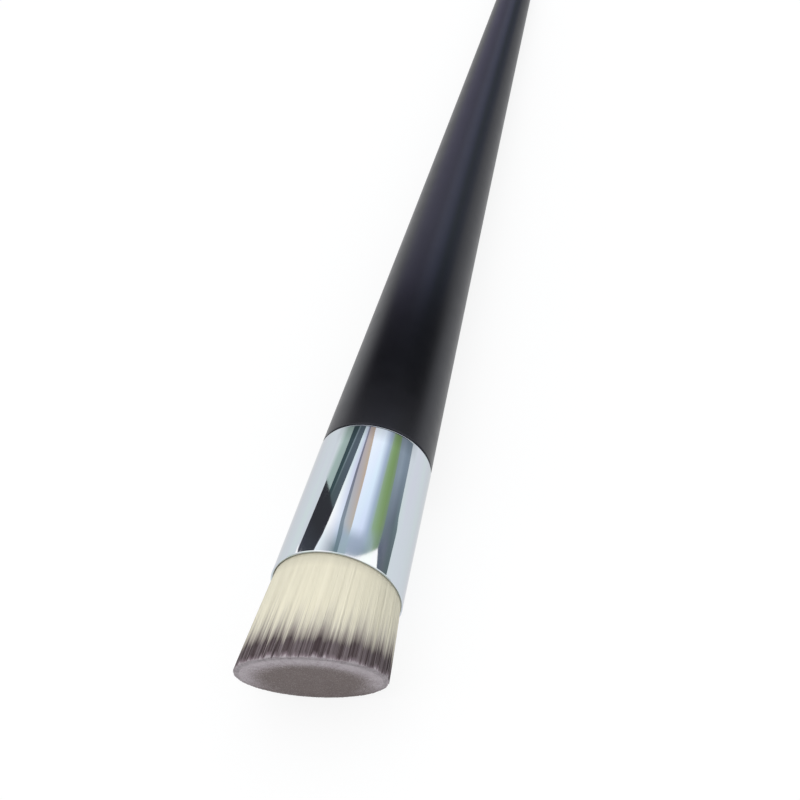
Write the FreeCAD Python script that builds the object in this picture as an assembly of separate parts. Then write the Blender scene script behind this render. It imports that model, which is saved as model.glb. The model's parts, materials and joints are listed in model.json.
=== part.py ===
"""Round stencil brush: a flared filament tuft, cut flat on a slant, in a bright conical ferrule on a tapered handle.

Every piece is drawn along the brush's own axis first: X runs from the tail to the tuft, and x = 0 is the
plane of the ferrule's mouth. The finished brush is then laid down as it lies on a table: +X still points
towards the tuft, +Z is up, and the origin is on the table below the middle of the brush. Millimetres.
"""

import math
import os

import FreeCAD
import Part
from FreeCAD import Vector

# Ferrule: a drawn conical tube, widest at the mouth, that grips the tuft and the handle.
mouth_diameter = 20.0
rear_diameter = 17.7
ferrule_length = 25.8
ferrule_wall = 0.35
lip_bevel = 0.12

# Handle: turned wood, a long slightly hollow taper with a ball-shaped tail.
handle_length = 126.0
handle_step = 0.05
taper_hollow = 0.12
taper_steps = 3
tail_radius = 3.0

# Resin that sets the filament roots, measured back from the mouth. Its front slice belongs to the tuft.
resin_depth = 5.0
resin_slice = 1.5
resin_length = 5.5

# Tenon at the front of the handle: it ends short of the resin, and glue fills the space round it.
tenon_gap = 1.8
tenon_chamfer = 0.6
glue_line = 0.35

# Thread that ties the roots, in a groove round the resin.
thread_diameter = 0.5
thread_turns = 3
binding_offset = 2.2

# Tuft: strands in rings round one centre strand, flared, trimmed by one slanted plane.
strand_rings = 11
strands_per_ring_step = 6
strand_width = 0.62
strand_sink = 0.8
root_clearance = 0.55
tuft_length = 15.2
tuft_flare = 0.9
face_slant = 22.0
face_roll = 27.0

# How far the table presses in the lowest filament tips when the brush lies on it.
pressed_depth = 0.2

# Clearance between round faces that seat in each other.
seat_gap = 0.05

mouth_radius = mouth_diameter / 2
rear_radius = rear_diameter / 2
shoulder_radius = rear_radius - handle_step
shoulder_x = -ferrule_length
tail_centre_x = shoulder_x - handle_length + tail_radius
slice_back_x = -resin_depth - resin_slice
resin_back_x = slice_back_x - resin_length
tenon_end_x = resin_back_x - tenon_gap


def bore_radius(x):
    """Inside radius of the ferrule at x, which is zero at the mouth and negative behind it."""
    outside = mouth_radius + x * (mouth_radius - rear_radius) / ferrule_length
    return outside - ferrule_wall


tenon_radius = bore_radius(shoulder_x) - glue_line
tuft_root_radius = bore_radius(-resin_depth) - root_clearance
tuft_face_radius = mouth_radius + tuft_flare


def turned(corners):
    """Solid made by turning a closed outline of (x, radius) corners once round the X axis."""
    points = [Vector(x, radius, 0) for x, radius in corners]
    outline = Part.Face(Part.makePolygon(points + points[:1]))
    return outline.revolve(Vector(0, 0, 0), Vector(1, 0, 0), 360)


def make_ferrule():
    """Conical tube with both edges of its lip eased."""
    tube = turned(
        [
            (shoulder_x, bore_radius(shoulder_x)),
            (0, bore_radius(0)),
            (0, mouth_radius),
            (shoulder_x, rear_radius),
        ]
    )
    lip_edges = [edge for edge in tube.Edges if abs(edge.BoundBox.XMin) < 1e-6 and edge.Closed]
    return tube.makeChamfer(min(lip_bevel, 0.4 * ferrule_wall), lip_edges)


def taper_radius(share):
    """Radius of the handle at a share of the way from the tail's centre (0) to the shoulder (1)."""
    straight = tail_radius + share * (shoulder_radius - tail_radius)
    return straight - 4 * taper_hollow * share * (1 - share)


def make_handle():
    """Turned handle: ball tail, long taper, shoulder against the ferrule, and the tenon inside it."""
    run = shoulder_x - tail_centre_x
    shares = [step / taper_steps for step in range(taper_steps + 1)]
    taper = [(tail_centre_x + share * run, taper_radius(share)) for share in shares]
    body = turned(
        [(tail_centre_x, 0)]
        + taper
        + [
            (shoulder_x, tenon_radius),
            (tenon_end_x - tenon_chamfer, tenon_radius),
            (tenon_end_x, tenon_radius - tenon_chamfer),
            (tenon_end_x, 0),
        ]
    )
    tail = Part.makeSphere(tail_radius, Vector(tail_centre_x, 0, 0))
    return body.fuse(tail).removeSplitter()


def make_tenon_glue():
    """Glue between the straight tenon and the widening bore."""
    back_x = shoulder_x + seat_gap
    front_x = tenon_end_x - tenon_chamfer
    return turned(
        [
            (back_x, tenon_radius + seat_gap),
            (front_x, tenon_radius + seat_gap),
            (front_x, bore_radius(front_x) - seat_gap),
            (back_x, bore_radius(back_x) - seat_gap),
        ]
    )


binding_front_x = slice_back_x - binding_offset
binding_back_x = binding_front_x - thread_turns * thread_diameter
# The thread's crests stay inside the bore at the binding's narrow end.
binding_radius = bore_radius(binding_back_x) - thread_diameter - 2 * seat_gap


def make_resin_plug():
    """Set resin behind the tuft's own slice, with the groove that the binding lies in."""
    groove_front_x = binding_front_x + seat_gap
    groove_back_x = binding_back_x - seat_gap
    groove_radius = binding_radius - seat_gap
    return turned(
        [
            (resin_back_x, 0),
            (slice_back_x, 0),
            (slice_back_x, bore_radius(slice_back_x) - seat_gap),
            (groove_front_x, bore_radius(groove_front_x) - seat_gap),
            (groove_front_x, groove_radius),
            (groove_back_x, groove_radius),
            (groove_back_x, bore_radius(groove_back_x) - seat_gap),
            (resin_back_x, bore_radius(resin_back_x) - seat_gap),
        ]
    )


def make_root_binding():
    """Thread band: one ridge for each turn, flat where it grips the roots."""
    corners = [(binding_front_x, binding_radius), (binding_back_x, binding_radius)]
    for turn in range(thread_turns):
        start_x = binding_back_x + turn * thread_diameter
        corners.append((start_x, binding_radius + thread_diameter / 2))
        corners.append((start_x + thread_diameter / 2, binding_radius + thread_diameter))
    corners.append((binding_front_x, binding_radius + thread_diameter / 2))
    return turned(corners)


def face_x(y, z):
    """Where the slanted trim plane crosses a line parallel to the axis."""
    roll = math.radians(face_roll)
    towards_long_side = z * math.cos(roll) - y * math.sin(roll)
    return tuft_length + towards_long_side * math.tan(math.radians(face_slant))


def make_strand(angle, share):
    """One four-sided strand from the resin to just beyond the trim plane.

    share is its place between the centre (0) and the outermost ring (1).
    """
    outward = Vector(0, math.cos(angle), math.sin(angle))
    sideways = Vector(0, -math.sin(angle), math.cos(angle))
    half = strand_width / 2
    root = outward * (share * (tuft_root_radius - half))
    root.x = -resin_depth - strand_sink
    tip = outward * (share * (tuft_face_radius - half))
    tip.x = face_x(tip.y, tip.z)
    corners = [
        root + outward * (half * a) + sideways * (half * b) for a, b in ((-1, -1), (1, -1), (1, 1), (-1, 1))
    ]
    section = Part.Face(Part.makePolygon(corners + corners[:1]))
    past_face = 1 + strand_width / (tip.x - root.x)
    return section.extrude((tip - root) * past_face)


def make_tuft():
    """Flared bundle of strands, fused to the front slice of the resin and trimmed on the slant."""
    strands = [make_strand(0, 0)]
    for ring in range(1, strand_rings + 1):
        count = strands_per_ring_step * ring
        for index in range(count):
            angle = 2 * math.pi * index / count - math.pi / 2
            strands.append(make_strand(angle, ring / strand_rings))
    held = turned(
        [
            (slice_back_x, 0),
            (-resin_depth, 0),
            (-resin_depth, bore_radius(-resin_depth) - seat_gap),
            (slice_back_x, bore_radius(slice_back_x) - seat_gap),
        ]
    )
    side = 4 * tuft_face_radius
    trim = Part.makeBox(side, side, side, Vector(0, -side / 2, -side / 2))
    trim.rotate(Vector(0, 0, 0), Vector(0, 1, 0), face_slant)
    trim.rotate(Vector(0, 0, 0), Vector(1, 0, 0), face_roll)
    trim.translate(Vector(tuft_length, 0, 0))
    return held.multiFuse(strands).cut(trim)


def tilt_resting_on(x, radius):
    """Tilt of the axis, in radians, when the brush lies on its tail and on a round edge at x."""
    along = tail_centre_x - x
    return math.acos(tail_radius / math.hypot(radius, along)) + math.atan2(along, radius)


def lying_tilt():
    """Tilt of the axis when the brush lies on its tail and on the first edge of its head to come down.

    That is the lowest filament tips, pressed flat, unless the lip or the rear of the ferrule is lower.
    """
    tips_x = face_x(0, -tuft_face_radius)
    return max(
        tilt_resting_on(tips_x, tuft_face_radius - pressed_depth),
        tilt_resting_on(0, mouth_radius),
        tilt_resting_on(shoulder_x, rear_radius),
    )


def lay_down(pieces):
    """Lays the brush on the table, with the origin below its middle, and returns its mouth's centre."""
    tilt = lying_tilt()
    mouth_height = tail_radius - tail_centre_x * math.sin(tilt)
    for piece in pieces.values():
        piece.rotate(Vector(0, 0, 0), Vector(0, 1, 0), -math.degrees(tilt))
        piece.translate(Vector(0, 0, mouth_height))
    side = 4 * tuft_face_radius
    table = Part.makeBox(side, side, side, Vector(-side / 2, -side / 2, -side))
    pieces["tuft"] = pieces["tuft"].cut(table)
    whole = Part.makeCompound(list(pieces.values())).optimalBoundingBox(False)
    shift = Vector(-whole.Center.x, -whole.Center.y, 0)
    for piece in pieces.values():
        piece.translate(shift)
    return shift + Vector(0, 0, mouth_height)


def main():
    """Builds every piece, lays the brush down and writes one STEP file for each piece."""
    os.makedirs("parts", exist_ok=True)
    pieces = {
        "handle": make_handle(),
        "tenon_glue": make_tenon_glue(),
        "ferrule": make_ferrule(),
        "resin_plug": make_resin_plug(),
        "root_binding": make_root_binding(),
        "tuft": make_tuft(),
    }
    mouth_centre = lay_down(pieces)
    for name, piece in pieces.items():
        piece.exportStep("parts/" + name + ".step")
        box = piece.optimalBoundingBox(False)
        print(name, "solids", len(piece.Solids), "volume", round(piece.Volume, 1), "lowest", round(box.ZMin, 3))
    print("axis tilt, degrees:", round(math.degrees(lying_tilt()), 4))
    print("centre of the ferrule's mouth:", [round(value, 4) for value in mouth_centre])


main()
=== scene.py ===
"""Round stencil brush, dressed for the camera: filaments, bright ferrule, satin handle and a pale studio.

Lengths are metres. Pieces are drawn in the brush's own axes, where x = 0 is the plane of the ferrule's
mouth and +X runs to the tuft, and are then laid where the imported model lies.
"""
import json
import logging
import math
from dataclasses import dataclass, field, fields
from enum import Enum

import bmesh
import bpy
import numpy as np
from mathutils import Matrix, Quaternion, Vector


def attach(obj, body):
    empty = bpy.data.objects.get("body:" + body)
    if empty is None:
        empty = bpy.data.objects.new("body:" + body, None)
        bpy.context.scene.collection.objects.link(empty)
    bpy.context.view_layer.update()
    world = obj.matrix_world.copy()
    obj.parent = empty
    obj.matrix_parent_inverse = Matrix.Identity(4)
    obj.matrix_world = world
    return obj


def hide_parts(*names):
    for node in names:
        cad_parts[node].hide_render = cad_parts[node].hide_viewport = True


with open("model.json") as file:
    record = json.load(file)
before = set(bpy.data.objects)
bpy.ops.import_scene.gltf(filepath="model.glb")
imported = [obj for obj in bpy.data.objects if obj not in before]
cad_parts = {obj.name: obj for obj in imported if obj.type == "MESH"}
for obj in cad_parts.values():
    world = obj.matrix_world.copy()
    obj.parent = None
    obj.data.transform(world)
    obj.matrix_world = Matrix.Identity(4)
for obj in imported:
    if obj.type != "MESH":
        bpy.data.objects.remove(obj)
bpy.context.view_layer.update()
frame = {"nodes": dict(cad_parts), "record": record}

MM = 0.001
BODY = "root"
# Points nearer than this are one point.
TOUCHING = 1e-7
# Edges that turn by more than this stay sharp, and rounded ones have this many steps.
SHARP_ANGLE = math.radians(40)
ROUND_STEPS = 4
log = logging.getLogger("stencil_brush")


class Slot(Enum):
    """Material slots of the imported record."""

    LACQUER = "black_lacquer"
    METAL = "bright_metal"
    FILAMENT = "filament"
    RESIN = "set_resin"


def srgb(red: float, green: float, blue: float) -> tuple[float, float, float, float]:
    """Colour for a shader from values on the usual 0 to 255 scale.

    Args:
        red: Red, 0 to 255.
        green: Green, 0 to 255.
        blue: Blue, 0 to 255.

    Returns:
        Linear colour with full alpha.
    """
    # The display curve has a straight toe, and above it a lifted power.
    toe_end, toe_slope, lift, power = 0.04045, 12.92, 0.055, 2.4

    def linear(value: float) -> float:
        """One channel without its display curve."""
        share = value / 255
        return share / toe_slope if share <= toe_end else ((share + lift) / (1 + lift)) ** power

    return linear(red), linear(green), linear(blue), 1.0


class NodeDesk:
    """Short hand for laying out one material's nodes."""

    def __init__(self, name: str) -> None:
        """Starts a material with a Principled shader.

        Args:
            name: The material's name.
        """
        self.material = bpy.data.materials.new(name)
        self.material.use_nodes = True
        self.tree = self.material.node_tree
        self.shader = self.tree.nodes["Principled BSDF"]

    def add(self, kind: str, **settings: object) -> bpy.types.Node:
        """Adds a node and sets its properties.

        Args:
            kind: Blender's type name of the node.
            settings: Properties to set on it.

        Returns:
            The new node.
        """
        node = self.tree.nodes.new(kind)
        for name, value in settings.items():
            setattr(node, name, value)
        return node

    def link(self, source: bpy.types.NodeSocket, target: bpy.types.NodeSocket) -> None:
        """Links two sockets."""
        self.tree.links.new(source, target)

    def attribute(self, name: str) -> bpy.types.NodeSocket:
        """Value of an attribute of the mesh."""
        return self.add("ShaderNodeAttribute", attribute_name=name).outputs["Fac"]

    def noise(
        self, scale: float, detail: float, stretch: tuple[float, float, float] = (1, 1, 1)
    ) -> bpy.types.NodeSocket:
        """Noise on the piece's own coordinates.

        Args:
            scale: Repeats to a metre.
            detail: Octaves of finer noise.
            stretch: Factor on each axis before the noise is read.

        Returns:
            The noise, from 0 to 1.
        """
        place = self.add("ShaderNodeTexCoord")
        mapping = self.add("ShaderNodeMapping")
        mapping.inputs["Scale"].default_value = stretch
        self.link(place.outputs["Object"], mapping.inputs["Vector"])
        noise = self.add("ShaderNodeTexNoise")
        noise.inputs["Scale"].default_value = scale
        noise.inputs["Detail"].default_value = detail
        self.link(mapping.outputs["Vector"], noise.inputs["Vector"])
        return noise.outputs["Fac"]

    def spread(self, source: bpy.types.NodeSocket, low: float, high: float) -> bpy.types.NodeSocket:
        """Maps a 0 to 1 value onto low to high.

        Args:
            source: The value to map.
            low: Result at 0.
            high: Result at 1.

        Returns:
            The mapped value's socket.
        """
        node = self.add("ShaderNodeMapRange")
        node.inputs["To Min"].default_value = low
        node.inputs["To Max"].default_value = high
        self.link(source, node.inputs["Value"])
        return node.outputs["Result"]

    def relief(self, height: bpy.types.NodeSocket, strength: float, depth: float) -> None:
        """Raises the surface by a height value.

        Args:
            height: Socket with the height, 0 to 1.
            strength: Share of the effect.
            depth: Distance that a height of 1 stands for.
        """
        bump = self.add("ShaderNodeBump")
        bump.inputs["Strength"].default_value = strength
        bump.inputs["Distance"].default_value = depth
        self.link(height, bump.inputs["Height"])
        self.link(bump.outputs["Normal"], self.shader.inputs["Normal"])

    def set(self, **values: object) -> None:
        """Sets constants on the shader; underscores in a name stand for spaces."""
        for name, value in values.items():
            self.shader.inputs[name.replace("_", " ")].default_value = value

    def tint(self, factor: bpy.types.NodeSocket, stops: list[tuple[float, tuple]]) -> bpy.types.NodeSocket:
        """Colour ramp.

        Args:
            factor: Value from 0 to 1.
            stops: Places and colours along the ramp.

        Returns:
            The colour socket.
        """
        node = self.add("ShaderNodeValToRGB")
        elements = node.color_ramp.elements
        while len(elements) < len(stops):
            elements.new(0.5)
        for element, (place, colour) in zip(elements, stops):
            element.position = place
            element.color = colour
        self.link(factor, node.inputs["Fac"])
        return node.outputs["Color"]

    def cloud(self, noise: bpy.types.NodeSocket, dark: tuple, light: tuple) -> None:
        """Colours the surface in soft clouds.

        Args:
            noise: The clouds, 0 to 1.
            dark: Colour where they are thin.
            light: Colour where they are thick.
        """
        thin, thick = 0.3, 0.7
        self.link(self.tint(noise, [(thin, dark), (thick, light)]), self.shader.inputs["Base Color"])

    def blend(
        self,
        share: bpy.types.NodeSocket | None,
        low: bpy.types.NodeSocket,
        high: bpy.types.NodeSocket,
        kind: str = "MIX",
    ) -> bpy.types.NodeSocket:
        """Blends two colours.

        Args:
            share: Share of the blend, or None for the whole of it.
            low: Colour where the share is 0.
            high: Colour that is blended in.
            kind: Blender's name of the blend.

        Returns:
            The blended colour.
        """
        node = self.add("ShaderNodeMix", data_type="RGBA", blend_type=kind)
        if share is None:
            node.inputs["Factor"].default_value = 1.0
        else:
            self.link(share, node.inputs["Factor"])
        self.link(low, node.inputs["A"])
        self.link(high, node.inputs["B"])
        return node.outputs["Result"]


def seen_rays(tree: bpy.types.NodeTree) -> bpy.types.NodeSocket:
    """Tells the rays along which something is seen from those that only light it.

    Args:
        tree: Nodes of a material or world.

    Returns:
        A value of 1 for camera rays and for mirrored and transmitted ones, and 0 for the rest.
    """
    path = tree.nodes.new("ShaderNodeLightPath")
    seen = path.outputs["Is Camera Ray"]
    for kind in ("Is Glossy Ray", "Is Transmission Ray"):
        either = tree.nodes.new("ShaderNodeMath")
        either.operation = "MAXIMUM"
        tree.links.new(seen, either.inputs[0])
        tree.links.new(path.outputs[kind], either.inputs[1])
        seen = either.outputs[0]
    return seen


def empty_tree(owner: bpy.types.Material | bpy.types.World) -> bpy.types.NodeTree:
    """Gives a material or world nodes, and leaves only the output.

    Args:
        owner: The material or world.

    Returns:
        Its nodes.
    """
    owner.use_nodes = True
    for node in list(owner.node_tree.nodes):
        if not node.type.startswith("OUTPUT"):
            owner.node_tree.nodes.remove(node)
    return owner.node_tree


def show(tree: bpy.types.NodeTree, shader: bpy.types.NodeSocket) -> None:
    """Links a shader to the output of a material or world."""
    out = next(node for node in tree.nodes if node.type.startswith("OUTPUT"))
    tree.links.new(shader, out.inputs["Surface"])


def show_either(
    tree: bpy.types.NodeTree, share: bpy.types.NodeSocket, low: bpy.types.Node, high: bpy.types.Node
) -> None:
    """Shows a mix of two shaders.

    Args:
        tree: Nodes of a material or world.
        share: Share of the second shader.
        low: Node of the first shader.
        high: Node of the second shader.
    """
    mix = tree.nodes.new("ShaderNodeMixShader")
    tree.links.new(share, mix.inputs["Fac"])
    tree.links.new(low.outputs[0], mix.inputs[1])
    tree.links.new(high.outputs[0], mix.inputs[2])
    show(tree, mix.outputs["Shader"])


@dataclass(frozen=True)
class SatinLacquer:
    """Sprayed black lacquer on turned wood: satin, with a faint orange peel."""

    dark: tuple = srgb(6, 6, 9)
    light: tuple = srgb(10, 10, 14)
    cloud_scale: float = 90.0
    gloss: float = 0.42
    # Painted reflection colour: tints the lacquer's reflections blue, for bluish surroundings.
    blue_reflection_tint: tuple = (0.77, 0.82, 1.0, 1.0)
    roughness: tuple[float, float] = (0.3, 0.4)
    haze_scale: float = 420.0
    peel_scale: float = 2600.0
    peel_strength: float = 0.25
    peel_depth: float = 0.01 * MM

    def build(self) -> bpy.types.Material:
        """Makes the material.

        Returns:
            The lacquer.
        """
        desk = NodeDesk("satin_lacquer")
        desk.cloud(desk.noise(self.cloud_scale, detail=3.0), self.dark, self.light)
        haze = desk.noise(self.haze_scale, detail=4.0)
        desk.link(desk.spread(haze, *self.roughness), desk.shader.inputs["Roughness"])
        desk.set(Specular_IOR_Level=self.gloss, Specular_Tint=self.blue_reflection_tint)
        desk.relief(desk.noise(self.peel_scale, detail=1.0), self.peel_strength, self.peel_depth)
        return desk.material


@dataclass(frozen=True)
class BrightPlating:
    """Polished bright plating, with faint drawing marks along the tube, whose lilac and green tints are
    painted streaks of reflection.
    """

    colour: tuple = (0.597, 0.653, 0.708, 1.0)
    # Lilac and green tints of the drawing marks are painted streaks of reflection.
    cool_mark: tuple = (0.598, 0.63, 0.71, 1.0)
    warm_mark: tuple = (0.592, 0.675, 0.70, 1.0)
    edge_tint: tuple = (0.82, 0.82, 0.82, 1.0)
    mark_scale: float = 420.0
    mark_stretch: tuple = (0.02, 1.0, 1.0)
    mark_places: tuple = (0.35, 0.5, 0.65)
    roughness: tuple[float, float] = (0.015, 0.035)
    smear_scale: float = 160.0
    smear_stretch: tuple = (1.0, 2.5, 2.5)
    wave_scale: float = 60.0
    wave_strength: float = 0.04
    wave_depth: float = 0.08 * MM

    def build(self) -> bpy.types.Material:
        """Makes the material.

        Returns:
            The plating.
        """
        desk = NodeDesk("bright_plating")
        desk.set(Metallic=1.0, Specular_Tint=self.edge_tint)
        # Drawing marks with painted streaks of reflection.
        marks = desk.noise(self.mark_scale, 2.0, self.mark_stretch)
        stops = list(zip(self.mark_places, (self.cool_mark, self.colour, self.warm_mark)))
        desk.link(desk.tint(marks, stops), desk.shader.inputs["Base Color"])
        smear = desk.noise(self.smear_scale, 3.0, self.smear_stretch)
        desk.link(desk.spread(smear, *self.roughness), desk.shader.inputs["Roughness"])
        desk.relief(desk.noise(self.wave_scale, detail=1.0), self.wave_strength, self.wave_depth)
        return desk.material


@dataclass(frozen=True)
class DyedFilament:
    """Fine synthetic filament: cream, then a dark dyed band, then pale mauve tips."""

    # The face colour is painted shade: the middle of the trimmed face is darkened for the shade between the
    # filament ends.
    face: tuple = srgb(102, 91, 88)
    # The lit rim colour is the pale mauve of the tip ends, lightened as a painted highlight where light
    # catches them.
    lit_rim: tuple = srgb(175, 167, 171)
    bloom: tuple = srgb(146, 133, 139)
    mauve: tuple = srgb(118, 103, 110)
    band: tuple = srgb(60, 46, 49)
    fade: tuple = srgb(160, 151, 143)
    pale: tuple = srgb(198, 192, 177)
    soft: tuple = srgb(222, 216, 196)
    cream: tuple = srgb(232, 226, 203)
    thin: tuple = srgb(136, 125, 129)
    reach: float = 10.0 * MM
    roughness: float = 0.5
    gloss: float = 0.3

    def build(self) -> bpy.types.Material:
        """Makes the material from the attributes that the planting writes.

        The ramps run from the tip, at 0, to the reach, at 1: one where the dye took, one where it hardly did.

        Returns:
            The filaments' finish.
        """
        desk = NodeDesk("dyed_filament")
        share = desk.add("ShaderNodeMath", operation="DIVIDE")
        share.inputs[1].default_value = self.reach
        desk.link(desk.attribute("from_tip"), share.inputs[0])
        along = share.outputs[0]
        tip = [(0.0, self.lit_rim), (0.02, self.bloom), (0.04, self.mauve)]
        band = [(0.1, self.band), (0.31, self.band), (0.49, self.fade)]
        strong = tip + band + [(0.62, self.pale), (0.82, self.soft), (1.0, self.cream)]
        weak = [(0.0, self.lit_rim), (0.03, self.thin), (0.27, self.thin), (0.42, self.pale), (0.65, self.cream)]
        # Painted shade on the middle of the trimmed face.
        face = desk.tint(along, [(0.0, self.face), (1.0, self.face)])
        dyed = desk.blend(desk.attribute("dye"), desk.tint(along, weak), desk.tint(along, strong))
        # The lit rim blends from the face's painted shade to the dye ramps, whose tips carry the painted
        # highlight.
        tipped = desk.blend(desk.attribute("lit_rim"), face, dyed)
        # The tone attribute carries random differences and painted shade at the roots.
        toned = desk.blend(None, tipped, desk.attribute("tone"), "MULTIPLY")
        desk.link(toned, desk.shader.inputs["Base Color"])
        desk.set(Roughness=self.roughness, Specular_IOR_Level=self.gloss)
        return desk.material


@dataclass(frozen=True)
class HiddenFinish:
    """Finish of a piece inside the ferrule: two colours, cloudy or banded along the axis."""

    name: str
    dark: tuple
    light: tuple
    roughness: float
    scale: float = 600.0
    stretch: tuple = (1.0, 1.0, 1.0)
    relief_strength: float = 0.3
    relief_depth: float = 0.05 * MM

    def build(self) -> bpy.types.Material:
        """Makes the material.

        Returns:
            The finish.
        """
        desk = NodeDesk(self.name)
        cloud = desk.noise(self.scale, 3.0, self.stretch)
        desk.cloud(cloud, self.dark, self.light)
        desk.set(Roughness=self.roughness)
        desk.relief(cloud, self.relief_strength, self.relief_depth)
        return desk.material


# Colours and roughness of resin, both in its plug and in the slice that holds the filaments.
RESIN = (srgb(160, 130, 70), srgb(205, 180, 120), 0.25)


@dataclass(frozen=True)
class BrushAxis:
    """The brush's own axes, as they lie in the row frame."""

    mouth: Vector
    along: Vector

    @classmethod
    def from_record(cls, record: dict, ferrule_length: float) -> "BrushAxis":
        """Reads the axis from the mount at the joint of ferrule and handle.

        Args:
            record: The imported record.
            ferrule_length: From that joint to the ferrule's mouth.

        Returns:
            The axes, with the ferrule's mouth at x = 0.
        """
        mount = next(m for m in record["mounts"] if m["name"] == "rack_ring")
        along = -Vector(mount["axis"]).normalized()
        return cls(Vector(mount["pos_m"]) + along * ferrule_length, along)

    def matrix(self) -> Matrix:
        """The turn and shift that lay the brush down.

        Returns:
            Matrix from the brush's own axes to the row frame.
        """
        side = Vector((0, 1, 0))
        up = self.along.cross(side)
        turn = Matrix((self.along, side, up)).transposed()
        return Matrix.Translation(self.mouth) @ turn.to_4x4()

    def place(self, x: float, y: float, z: float) -> Vector:
        """A point of the brush's own axes in the row frame."""
        return self.matrix() @ Vector((x, y, z))


def bulge(share: float | np.ndarray) -> float | np.ndarray:
    """Smooth hump over shares of a length: 0 at both ends and 1 half way."""
    return 4 * share * (1 - share)


def turned(outline: list[tuple[float, float]], steps: int, closed: bool) -> bmesh.types.BMesh:
    """Turns an outline of (x, radius) points once round the X axis.

    Args:
        outline: Points of the outline, in order.
        steps: Sides of the turned shape.
        closed: Whether the outline joins up with its own start.

    Returns:
        A bmesh with the turned surface, its normals pointing outwards.
    """
    bm = bmesh.new()
    points = [bm.verts.new((x, radius, 0)) for x, radius in outline]
    edges = [bm.edges.new(pair) for pair in zip(points, points[1:])]
    if closed:
        edges.append(bm.edges.new((points[-1], points[0])))
    bmesh.ops.spin(
        bm,
        geom=points + edges,
        axis=(1, 0, 0),
        cent=(0, 0, 0),
        angle=2 * math.pi,
        steps=steps,
        use_merge=True,
    )
    bmesh.ops.remove_doubles(bm, verts=bm.verts, dist=TOUCHING)
    bmesh.ops.recalc_face_normals(bm, faces=bm.faces)
    return bm


def round_edges(bm: bmesh.types.BMesh, x: float, radii: list[float], size: float) -> None:
    """Rounds the circular edges of a turned shape that lie at x.

    Args:
        bm: The turned shape.
        x: Place of the edges along the axis.
        radii: Radii of the edges to round.
        size: Radius of the rounding.
    """

    def lies_there(vert: bmesh.types.BMVert) -> bool:
        """Whether a point is on one of the wanted circles."""
        radius = math.hypot(vert.co.y, vert.co.z)
        return abs(vert.co.x - x) < TOUCHING and any(abs(radius - wanted) < TOUCHING for wanted in radii)

    edges = [edge for edge in bm.edges if all(lies_there(vert) for vert in edge.verts)]
    bmesh.ops.bevel(
        bm, geom=edges, offset=size, segments=ROUND_STEPS, profile=0.5, affect="EDGES", material=-1
    )


def finished(
    bm: bmesh.types.BMesh, name: str, axis: BrushAxis, material: bpy.types.Material
) -> bpy.types.Object:
    """Makes a smooth-shaded piece from a bmesh drawn in the brush's own axes.

    Args:
        bm: The shape; it is freed.
        name: The piece's name.
        axis: Where the brush lies.
        material: The piece's finish.

    Returns:
        The piece's object, at the origin.
    """
    mesh = bpy.data.meshes.new(name)
    bm.transform(axis.matrix())
    bm.to_mesh(mesh)
    bm.free()
    mesh.shade_smooth()
    mesh.set_sharp_from_angle(angle=SHARP_ANGLE)
    return placed(mesh, name, material)


def even_walls(piece: bpy.types.Object) -> None:
    """Lets a piece's broad faces shade evenly right up to its rounded edges."""
    weighted = piece.modifiers.new("even_walls", "WEIGHTED_NORMAL")
    weighted.keep_sharp = True


def placed(mesh: bpy.types.Mesh, name: str, material: bpy.types.Material) -> bpy.types.Object:
    """Puts a mesh into the scene as a piece of its own.

    Args:
        mesh: The mesh, in the row frame.
        name: The piece's name.
        material: The piece's finish.

    Returns:
        The piece's object, at the origin.
    """
    mesh.materials.append(material)
    piece = bpy.data.objects.new(name, mesh)
    bpy.context.scene.collection.objects.link(piece)
    return piece


def hand_over(piece: bpy.types.Object, slot: Slot, *nodes: str) -> None:
    """Lets a piece ride on the brush and hides the nodes that it stands for.

    Args:
        piece: The piece.
        slot: Not used.
        nodes: CAD nodes that it stands for.
    """
    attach(piece, BODY)
    if nodes:
        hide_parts(*nodes)
    log.info("%s: %d faces", piece.name, len(piece.data.polygons))


@dataclass
class Ferrule:
    """Conical bright tube, with a rounded lip at the mouth."""

    length: float = 25.8 * MM
    mouth_radius: float = 10.0 * MM
    rear_radius: float = 8.85 * MM
    wall: float = 0.35 * MM
    lip_round: float = 0.12 * MM
    rear_round: float = 0.42 * MM
    mouth_ring: float = 0.17 * MM
    rear_ring: float = 0.5 * MM
    sides: int = 224
    rings: int = 12

    def build(self, axis: BrushAxis) -> bpy.types.Object:
        """Makes the tube.

        Args:
            axis: Where the brush lies.

        Returns:
            The ferrule.
        """
        inner = np.linspace(self.mouth_ring, self.length - self.rear_ring, self.rings - 1)
        taper = (self.rear_radius - self.mouth_radius) / self.length
        outline = [(-back, self.mouth_radius + taper * back) for back in (0, *inner, self.length)]
        outline += [(x, radius - self.wall) for x, radius in reversed(outline)]
        bm = turned(outline, self.sides, closed=True)
        round_edges(bm, 0, [self.mouth_radius, self.mouth_radius - self.wall], self.lip_round)
        round_edges(bm, -self.length, [self.rear_radius], self.rear_round)
        tube = finished(bm, "ferrule_tube", axis, BrightPlating().build())
        even_walls(tube)
        hand_over(tube, Slot.METAL, "ferrule")
        return tube


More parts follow.
